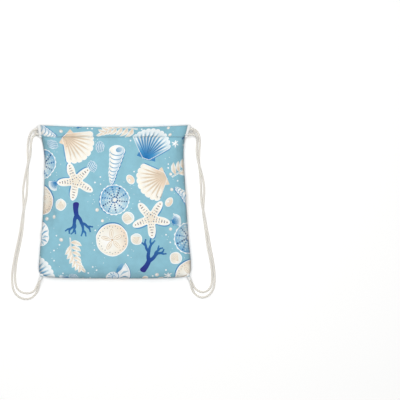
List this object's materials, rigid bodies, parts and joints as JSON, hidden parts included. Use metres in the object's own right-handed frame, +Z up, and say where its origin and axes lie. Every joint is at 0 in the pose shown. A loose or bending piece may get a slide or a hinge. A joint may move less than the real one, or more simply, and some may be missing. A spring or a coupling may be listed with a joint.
{
  "type": "drawstring backpack",
  "caption": "Flat cloth pouch with a casing along each side of its mouth and two cord loops that close it and serve as shoulder straps.",
  "frame": {"origin": "under the middle of the bag, cords left out, on the surface that its back lies on", "axes": "+X to the right across the bag, +Y towards its mouth, +Z up out of the front panel"},
  "size_m": [0.5112, 0.4371, 0.0501],
  "materials": {
    "printed_cloth": "light blue woven polyester with a printed sea-shell pattern",
    "seam_cloth": "unprinted reverse of the cloth, overlocked edge",
    "white_tape": "white ribbed woven tape",
    "thread": "polyester sewing thread",
    "cotton_cord": "natural off-white twisted cotton"
  },
  "bodies": {
    "bag": {"front_panel": "printed_cloth", "back_panel": "printed_cloth", "front_casing": "printed_cloth", "back_casing": "printed_cloth", "front_casing_stitching": "thread", "back_casing_stitching": "thread", "front_hem_left": "white_tape", "front_hem_right": "white_tape", "back_hem_left": "white_tape", "back_hem_right": "white_tape", "left_side_seam": "seam_cloth", "right_side_seam": "seam_cloth", "bottom_seam": "seam_cloth", "left_mouth_tack": "thread", "right_mouth_tack": "thread", "left_tab": "white_tape", "right_tab": "white_tape", "left_tab_tack": "thread", "right_tab_tack": "thread"},
    "left_drawstring": {"left_drawstring": "cotton_cord"},
    "right_drawstring": {"right_drawstring": "cotton_cord"}
  },
  "joints": [
    {"name": "left_pull", "type": "slide", "parent": "bag", "child": "left_drawstring", "axis": [-1, 0, 0], "range_m": [0, 0.06], "deforming": ["left_drawstring"]},
    {"name": "right_pull", "type": "slide", "parent": "bag", "child": "right_drawstring", "axis": [1, 0, 0], "range_m": [0, 0.06], "deforming": ["right_drawstring"]}
  ]
}
